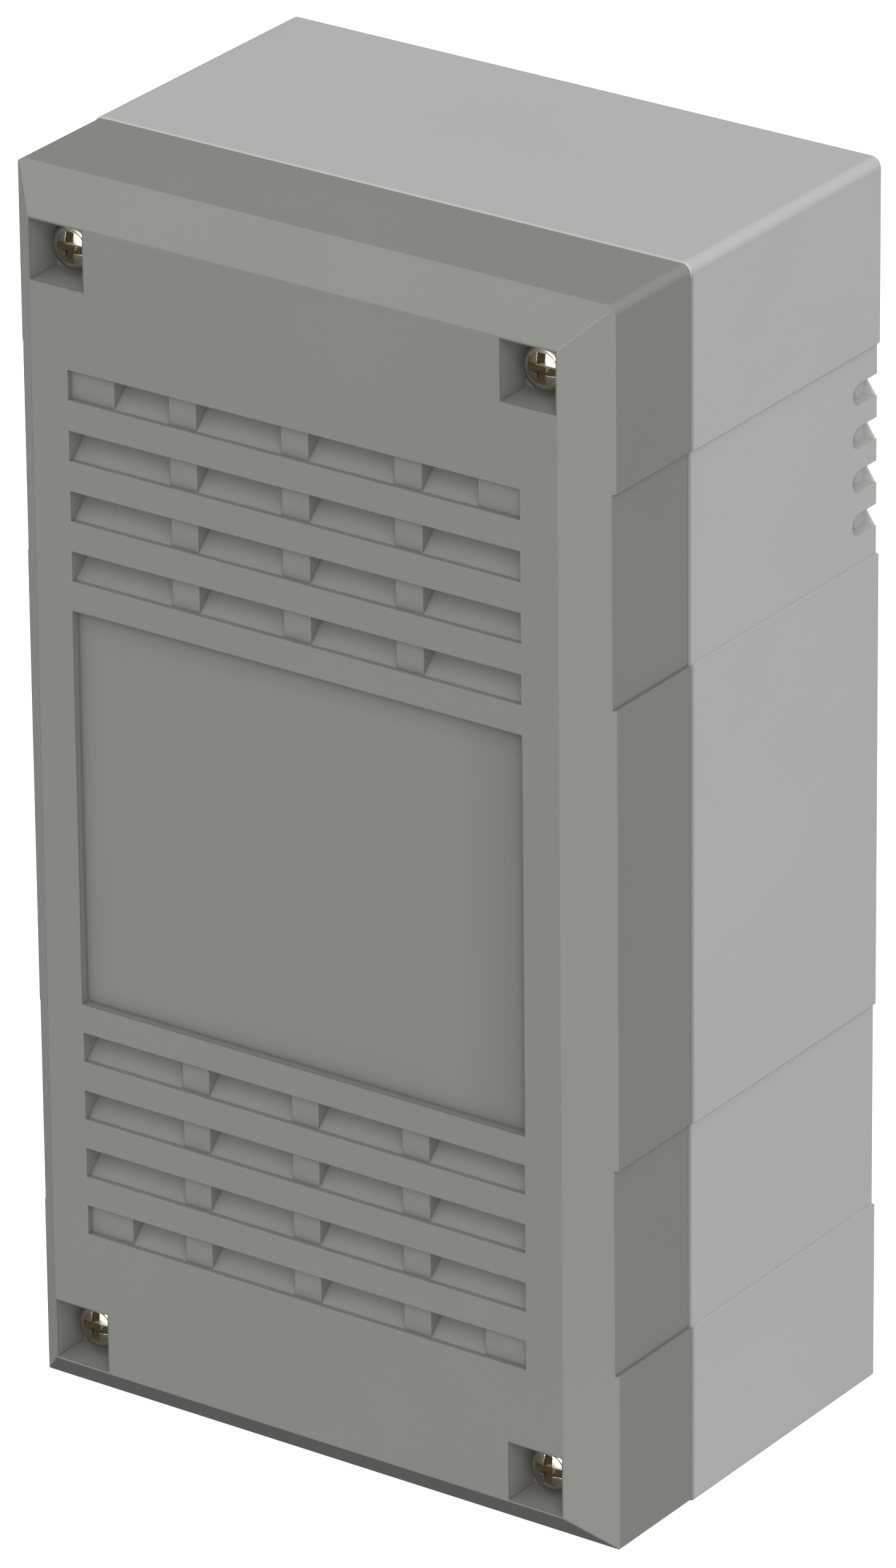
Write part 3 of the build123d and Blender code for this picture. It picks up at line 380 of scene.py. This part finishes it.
RING_PITCH = 0.02             # share of the head's width
RING_SWING = 0.015
RING_DEPTH = 0.0001 * MM
# Painted shade and reflection in a screw's recess: a darker brownish tone where it is shut in.
RECESS_REACH = 1.6 * MM
RECESS_SPAN = (0.45, 0.85)    # openness, from deep in the recess to its mouth
RECESS_METALLIC = 0.55
RECESS_DULLING = 0.15


def turned_metal(name, colour, roughness, recess_shade_colour, stain=0.8, edge=0.12 * MM):
    """Metal turned about the node's own middle axis along Y: fine rings, and painted shade and reflection in
    its recess: a darker brownish tone, less metallic and duller.
    """
    s = Surface(name)
    out_x = s.math("SUBTRACT", s.extent("X"), 0.5)
    out_z = s.math("SUBTRACT", s.extent("Z"), 0.5)
    squared = s.math("ADD", s.math("MULTIPLY", out_x, out_x), s.math("MULTIPLY", out_z, out_z))
    radius = s.math("POWER", squared, 0.5)
    rings = s.math("SINE", s.math("MULTIPLY", radius, 2 * math.pi / RING_PITCH))
    film = s.noise(1.4 * MM, detail=4.0, roughness=0.65)
    filmed = s.blend(s.remap(film, FILM_SPAN), shade(colour), shade(colour, stain))
    deep = s.remap(s.occlusion(RECESS_REACH), RECESS_SPAN, 1.0, 0.0)
    s.set(Base_Color=s.blend(deep, filmed, shade(recess_shade_colour)))
    s.set(Metallic=s.remap(deep, (0.0, 1.0), 1.0, RECESS_METALLIC))
    film_rough = s.remap(film, NOISE_SPAN, -0.04, 0.06)
    ring_rough = s.remap(rings, (-1.0, 1.0), roughness - RING_SWING, roughness + RING_SWING)
    outside = s.math("ADD", film_rough, ring_rough)
    s.set(Roughness=s.math("ADD", outside, s.math("MULTIPLY", deep, RECESS_DULLING)))
    s.set(Normal=s.bump(rings, RING_DEPTH, s.soft_edges(edge)))
    return s.material


def rubber(name, colour):
    """Soft black rubber: a dull skin with a little dust in its pores, and painted shade in its recesses."""
    s = Surface(name)
    dust = s.noise(0.6 * MM, detail=5.0, roughness=0.7)
    toned = s.blend(s.remap(dust, (0.5, 0.75), 0.0, 0.35), shade(colour), shade(colour, 2.2))
    s.set(Base_Color=s.painted_occlusion_shade(toned, 3 * MM, 0.6))
    s.set(Roughness=s.remap(dust, NOISE_SPAN, 0.72, 0.86), Specular_IOR_Level=0.3)
    s.set(Normal=s.bump(s.noise(0.35 * MM, detail=3.0), 0.02 * MM, s.soft_edges(0.2 * MM)))
    return s.material


def clear_glass(name):
    """Thin drawn glass, with faint draw lines along the tube."""
    s = Surface(name)
    draw = s.noise(0.4 * MM, place=s.stretched((1.0, 1.0, 0.05)))
    s.set(Base_Color=s.blend(s.remap(draw, NOISE_SPAN), (0.93, 0.97, 0.96, 1.0), (0.98, 1.0, 1.0, 1.0)))
    s.set(Transmission_Weight=1.0, IOR=1.46, Roughness=s.remap(draw, NOISE_SPAN, 0.01, 0.05))
    s.set(Normal=s.bump(draw, 0.002 * MM, s.soft_edges(0.05 * MM)))
    return s.material


BASE_GREY = (0.592, 0.592, 0.577)
LID_GREY = (0.296, 0.302, 0.276)
DARK_NICKEL = (0.36, 0.335, 0.28)
RECESS_SHADE_TONE = (0.16, 0.125, 0.065)
NYLON = (0.70, 0.68, 0.61)
BRASS = (0.78, 0.57, 0.24)
RUBBER_BLACK = (0.022, 0.022, 0.024)
ZINC = (0.66, 0.67, 0.68)
YELLOW_ZINC = (0.68, 0.63, 0.50)
TINNED_COPPER = (0.74, 0.62, 0.50)
NICKEL = (0.76, 0.74, 0.70)
TERMINAL_GREY = (0.29, 0.30, 0.31)
EARTH_GREEN = (0.045, 0.23, 0.05)
EARTH_YELLOW = (0.72, 0.52, 0.03)
FUSE_BLACK = (0.030, 0.030, 0.033)
LEVER_BLACK = (0.040, 0.040, 0.044)
STOP_GREY = (0.36, 0.36, 0.33)


def nodes_called(*beginnings):
    return [name for name in sorted(NODES) if name.startswith(beginnings)]


def paint(material, names):
    """Puts a material in every slot of the CAD nodes named."""
    for name in names:
        for slot in NODES[name].material_slots:
            slot.material = material


# The finishes of the CAD nodes, each with how the names of its nodes begin.
nickel = machined_metal("nickel_cap", NICKEL, 0.22, lines=(1.0, 1.0, 8.0))
label_sheet = moulded_plastic("label_sheet", LID_GREY, roughness=0.5, grain=0.15 * MM, reach=20 * MM,
                              broad=0.8, fine=0.1, extra=field_shade)
terminal_grey = moulded_plastic("terminal_polyamide", TERMINAL_GREY, roughness=0.42, variation=0.03,
                                reach=4 * MM)
fuse_black = moulded_plastic("fuse_polyamide", FUSE_BLACK, roughness=0.42, variation=0.06, reach=4 * MM)
lever_black = moulded_plastic("lever_polyamide", LEVER_BLACK, roughness=0.36, variation=0.06, reach=3 * MM)
stop_grey = moulded_plastic("stop_polyamide", STOP_GREY, roughness=0.45, variation=0.03, reach=4 * MM)
FINISHES = [
    (moulded_plastic("base_moulding", BASE_GREY, broad=0.25, fine=0.1, extra=painted_joint_shade), ["base_shell"]),
    (moulded_plastic("lid_moulding", LID_GREY, reach=7 * MM, broad=0.5, fine=0.3, extra=painted_rim_shade_and_gap_light),
     ["lid_cover"]),
    (label_sheet, ["label_plate"]),
    (turned_metal("dark_nickel", DARK_NICKEL, 0.26, RECESS_SHADE_TONE), ["lid_screw"]),
    (moulded_plastic("washer_nylon_white", NYLON, roughness=0.4, reach=2 * MM), ["screw_washer"]),
    (machined_metal("turned_brass", BRASS, 0.28, lines=(1.0, 6.0, 1.0)), ["threaded_inserts"]),
    (rubber("grommet_black", RUBBER_BLACK), ["cable_grommet"]),
    (machined_metal("rolled_zinc", ZINC, 0.34, lines=(0.04, 1.0, 1.0), edge=0.2 * MM), ["din_rail"]),
    (machined_metal("screw_zinc", ZINC, 0.3, lines=(1.0, 5.0, 1.0)), ["rail_screws", "end_stop_screws"]),
    (terminal_grey, ["terminal_block", "end_cover_plate"]),
    (earth_plastic("earth_polyamide", EARTH_GREEN, EARTH_YELLOW), ["earth_terminal"]),
    (fuse_black, ["fuse_base", "partition_plate"]),
    (lever_black, ["fuse_lever"]),
    (nickel, ["cartridge_fuse"]),
    (stop_grey, ["end_stop_left", "end_stop_right"]),
    (machined_metal("clamp_zinc", YELLOW_ZINC, 0.3, lines=(1.0, 4.0, 1.0)), ["clamp_"]),
    (machined_metal("tinned_bar", TINNED_COPPER, 0.26, lines=(0.1, 1.0, 1.0)),
     ["current_bars", "fuse_contacts"]),
]
painted = []
for material, beginnings in FINISHES:
    names = nodes_called(*beginnings)
    paint(material, names)
    painted += names
if sorted(painted) != sorted(NODES):
    raise RuntimeError("each CAD node takes exactly one finish")

tag_nylon = moulded_plastic("tag_nylon", NYLON, roughness=0.4, edge=0.06 * MM, reach=2 * MM)
tube_glass = clear_glass("fuse_glass")

# ---------------------------------------------------------------- detail pieces


def new_piece(name, points, faces, material, body_node, slot_name):
    """A mesh object in the row frame, riding on the body of a CAD node."""
    mesh = bpy.data.meshes.new(name)
    mesh.from_pydata(points, [], faces)
    mesh.materials.append(material)
    mesh.update()
    piece = bpy.data.objects.new(name, mesh)
    bpy.context.scene.collection.objects.link(piece)
    bodies = body_of(NODES[body_node])
    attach(piece, bodies[0])
    return piece


LATHE_TURNS = 32


def lathe(outline, centre, turns=LATHE_TURNS):
    """Points and faces of a closed (radius, height) outline turned about a Z axis through centre."""
    count = len(outline)
    points = []
    faces = []
    for turn in range(turns):
        angle = 2 * math.pi * turn / turns
        for radius, height in outline:
            points.append((
                centre[0] + radius * math.cos(angle),
                centre[1] + radius * math.sin(angle),
                centre[2] + height,
            ))
    for turn in range(turns):
        after = (turn + 1) % turns
        for step in range(count):
            onward = (step + 1) % count
            faces.append((
                turn * count + step,
                after * count + step,
                after * count + onward,
                turn * count + onward,
            ))
    return points, faces


def join(*shapes):
    """Several (points, faces) as one."""
    points = []
    faces = []
    for some_points, some_faces in shapes:
        start = len(points)
        points += some_points
        faces += [tuple(start + corner for corner in face) for face in some_faces]
    return points, faces


CAP_LENGTH = 5.0 * MM
CAP_RADIUS = 2.58 * MM
CAP_ROUNDING = 0.5 * MM
CAP_ROUNDING_STEPS = 6
CAP_SHEET = 0.25 * MM
GLASS_RADIUS = 2.25 * MM
GLASS_WALL = 0.45 * MM
GLASS_CLEARANCE = 0.01 * MM
WIRE_RADIUS = 0.12 * MM
WIRE_STEPS = 12
WIRE_TURNS = 10
WIRE_PLAIN = 0.9              # share of its length that is thin, and how much thicker the ends are
WIRE_THICKENING = 0.6
SOLDER_RADIUS = 0.7 * MM
SOLDER_DEPTH = 0.25 * MM
SOLDER_LIP_DEPTH = 0.6 * SOLDER_DEPTH
SOLDER_RIM_RADIUS = 1.2 * SOLDER_RADIUS


def cap_outline(end, inward):
    """Section of one metal cap: its end disc with a solder dimple, its rim rolled in at the mouth."""
    arc = []
    for step in range(CAP_ROUNDING_STEPS + 1):
        angle = math.pi / 2 * step / CAP_ROUNDING_STEPS
        arc.append((
            CAP_RADIUS - CAP_ROUNDING + CAP_ROUNDING * math.sin(angle),
            end + inward * CAP_ROUNDING * (1 - math.cos(angle)),
        ))
    mouth = end + inward * CAP_LENGTH
    return [
        (0.0, end + inward * SOLDER_DEPTH),
        (SOLDER_RADIUS, end + inward * SOLDER_LIP_DEPTH),
        (SOLDER_RIM_RADIUS, end),
        *arc,
        (CAP_RADIUS, mouth - inward * CAP_SHEET),
        (CAP_RADIUS - CAP_SHEET, mouth),
        (GLASS_RADIUS, mouth),
        (GLASS_RADIUS, end + inward * 2 * CAP_SHEET),
        (0.0, end + inward * 2 * CAP_SHEET),
    ]


def make_cartridge(number):
    """A 5 x 20 mm glass cartridge: two caps, the tube and a fine wire, for one CAD cartridge."""
    node = f"cartridge_fuse_{number}"
    low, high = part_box(node)
    centre = tuple((low[axis] + high[axis]) / 2 for axis in range(3))
    half = (high[2] - low[2]) / 2
    caps = join(
        lathe(cap_outline(-half, 1), centre),
        lathe(cap_outline(half, -1), centre),
    )
    piece = new_piece(f"fuse_caps_{number}", *caps, nickel, node, "fuse_cap_metal")
    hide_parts(node)
    reach = half - 2 * CAP_SHEET
    tube = [
        (GLASS_RADIUS - GLASS_WALL, -reach),
        (GLASS_RADIUS - GLASS_CLEARANCE, -reach),
        (GLASS_RADIUS - GLASS_CLEARANCE, reach),
        (GLASS_RADIUS - GLASS_WALL, reach),
    ]
    new_piece(f"fuse_glass_{number}", *lathe(tube, centre), tube_glass, node, "fuse_cap_metal")
    wire = [(0.0, -reach)]
    for step in range(WIRE_STEPS + 1):
        along = -1 + 2 * step / WIRE_STEPS
        thickening = WIRE_THICKENING if abs(along) > WIRE_PLAIN else 0.0
        wire.append((WIRE_RADIUS * (1.0 + thickening), along * reach))
    wire.append((0.0, reach))
    new_piece(f"fuse_wire_{number}", *lathe(wire, centre, WIRE_TURNS), nickel, node, "fuse_cap_metal")


TAG_HALF_WIDTH = 1.42 * MM
TAG_HALF_LENGTH = 4.35 * MM
TAG_BACK = 1.15 * MM          # depth of the tag's back and of its face in the terminal's slot
TAG_FACE = 0.12 * MM
TAG_CHAMFER = 0.22 * MM
TAG_GROOVE = 0.1 * MM


def make_tag(number, node):
    """A blank snap-in marker in the slot on a terminal's crown: chamfered, with a faint groove across."""
    low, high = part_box(node)
    middle_x = (low[0] + high[0]) / 2
    middle_z = (low[2] + high[2]) / 2
    half = TAG_HALF_WIDTH
    end = TAG_HALF_LENGTH
    # The section as places across and depths.
    section = [
        (-half, TAG_BACK),
        (-half, TAG_FACE + TAG_CHAMFER),
        (-half + TAG_CHAMFER, TAG_FACE),
        (half - TAG_CHAMFER, TAG_FACE),
        (half, TAG_FACE + TAG_CHAMFER),
        (half, TAG_BACK),
    ]
    # Stations along Z: the place, how far the face is sunk, and how far each side is drawn in.
    stations = [
        (-end, TAG_CHAMFER, TAG_CHAMFER / 2),
        (-end + TAG_CHAMFER, 0.0, 0.0),
        (-2 * TAG_GROOVE, 0.0, 0.0),
        (-TAG_GROOVE, TAG_GROOVE, 0.0),
        (TAG_GROOVE, TAG_GROOVE, 0.0),
        (2 * TAG_GROOVE, 0.0, 0.0),
        (end - TAG_CHAMFER, 0.0, 0.0),
        (end, TAG_CHAMFER, TAG_CHAMFER / 2),
    ]
    points = []
    for along, sunk, drawn_in in stations:
        for across, depth in section:
            x = across - drawn_in if across > 0 else across + drawn_in
            deeper = sunk if depth < TAG_BACK else 0.0
            points.append((middle_x + x, low[1] + min(depth + deeper, TAG_BACK), middle_z + along))
    count = len(section)
    faces = [tuple(range(count)), tuple(reversed(range(len(points) - count, len(points))))]
    for station in range(len(stations) - 1):
        for step in range(count):
            onward = (step + 1) % count
            start = station * count
            faces.append((start + onward, start + step, start + count + step, start + count + onward))
    new_piece(f"marker_tag_{number}", points, faces, tag_nylon, node, "washer_nylon")


for tag_number, terminal in enumerate(nodes_called("terminal_block", "earth_terminal"), start=1):
    make_tag(tag_number, terminal)

for fuse_number in (1, 2):
    make_cartridge(fuse_number)

# ---------------------------------------------------------------- camera, light and floor


def make_camera():
    data = bpy.data.cameras.new("camera")
    data.sensor_width = SENSOR_LONG_SIDE
    data.lens = CAMERA_LENS
    data.clip_start, data.clip_end = CAMERA_CLIP
    camera = bpy.data.objects.new("camera", data)
    bpy.context.scene.collection.objects.link(camera)
    level = math.cos(CAMERA_ELEVATION)
    back = Vector((
        math.sin(CAMERA_AZIMUTH) * level,
        -math.cos(CAMERA_AZIMUTH) * level,
        math.sin(CAMERA_ELEVATION),
    ))
    camera.location = CAMERA_TARGET + back * CAMERA_DISTANCE
    camera.rotation_mode = "QUATERNION"
    aim = (-back).to_track_quat("-Z", "Y")
    camera.rotation_quaternion = aim @ Quaternion((0, 0, 1), CAMERA_ROLL)
    bpy.context.scene.camera = camera


def make_sun(name, direction, strength, spread, shadowed=True):
    data = bpy.data.lights.new(name, "SUN")
    data.energy = strength
    data.angle = spread
    data.use_shadow = shadowed
    sun = bpy.data.objects.new(name, data)
    sun.rotation_mode = "QUATERNION"
    sun.rotation_quaternion = (-direction).to_track_quat("-Z", "Y")
    bpy.context.scene.collection.objects.link(sun)
    return sun


SHINING = ("lid_screw", "threaded", "din_rail", "rail_screws", "clamp_", "current", "fuse_contacts")


def make_light():
    make_sun("key_wide", KEY_DIRECTION, KEY_STRENGTH * (1 - KEY_SHADOWED), KEY_SPREAD, shadowed=False)
    make_sun("key_soft", KEY_DIRECTION, KEY_STRENGTH * KEY_SHADOWED, KEY_SPREAD)
    make_sun("rear", REAR_DIRECTION, REAR_STRENGTH, REAR_SPREAD)
    glint = make_sun("glint", GLINT_DIRECTION, GLINT_STRENGTH, GLINT_SPREAD)
    shining = bpy.data.collections.new("metal_parts")
    for name in nodes_called(*SHINING):
        shining.objects.link(NODES[name])
    glint.light_linking.receiver_collection = shining


def make_surroundings():
    """White to the camera, an even fill to dull surfaces, brighter above than below to shiny ones."""
    world = bpy.data.worlds.new("studio")
    world.use_nodes = True
    tree = world.node_tree
    backdrop = tree.nodes["Background"]
    backdrop.inputs["Color"].default_value = (1.0, 1.0, 1.0, 1.0)
    path = tree.nodes.new("ShaderNodeLightPath")
    height = tree.nodes.new("ShaderNodeSeparateXYZ")
    tree.links.new(tree.nodes.new("ShaderNodeTexCoord").outputs["Generated"], height.inputs["Vector"])
    shiny = tree.nodes.new("ShaderNodeMapRange")
    shiny.inputs["From Min"].default_value = SHINE_LOW[0]
    shiny.inputs["To Min"].default_value = SHINE_LOW[1]
    shiny.inputs["From Max"].default_value = SHINE_HIGH[0]
    shiny.inputs["To Max"].default_value = SHINE_HIGH[1]
    tree.links.new(height.outputs["Z"], shiny.inputs["Value"])
    dull = tree.nodes.new("ShaderNodeMix")
    tree.links.new(path.outputs["Is Glossy Ray"], dull.inputs["Factor"])
    dull.inputs["A"].default_value = FILL_STRENGTH
    tree.links.new(shiny.outputs["Result"], dull.inputs["B"])
    seen = tree.nodes.new("ShaderNodeMix")
    tree.links.new(path.outputs["Is Camera Ray"], seen.inputs["Factor"])
    tree.links.new(dull.outputs["Result"], seen.inputs["A"])
    seen.inputs["B"].default_value = 1.0
    tree.links.new(seen.outputs["Result"], backdrop.inputs["Strength"])
    bpy.context.scene.world = world


def make_floor():
    """A large pale floor, lit to nearly white, that throws no light or shade back on the object."""
    corners = [(x * FLOOR_HALF, y * FLOOR_HALF, -FLOOR_GAP) for x, y in ((-1, -1), (1, -1), (1, 1), (-1, 1))]
    mesh = bpy.data.meshes.new("floor")
    mesh.from_pydata(corners, [], [(0, 1, 2, 3)])
    s = Surface("floor_pale")
    s.set(Base_Color=s.blend(s.noise(60 * MM), (0.80, 0.80, 0.80, 1.0), (0.82, 0.82, 0.82, 1.0)))
    s.set(Roughness=0.9, Specular_IOR_Level=0.1)
    s.set(Emission_Color=(1.0, 1.0, 1.0, 1.0), Emission_Strength=FLOOR_GLOW)
    mesh.materials.append(s.material)
    floor = bpy.data.objects.new("floor", mesh)
    bpy.context.scene.collection.objects.link(floor)
    for ray in ("diffuse", "glossy", "transmission", "shadow"):
        setattr(floor, "visible_" + ray, False)


make_camera()
make_light()
make_surroundings()
make_floor()
bpy.context.scene.view_settings.view_transform = "Standard"
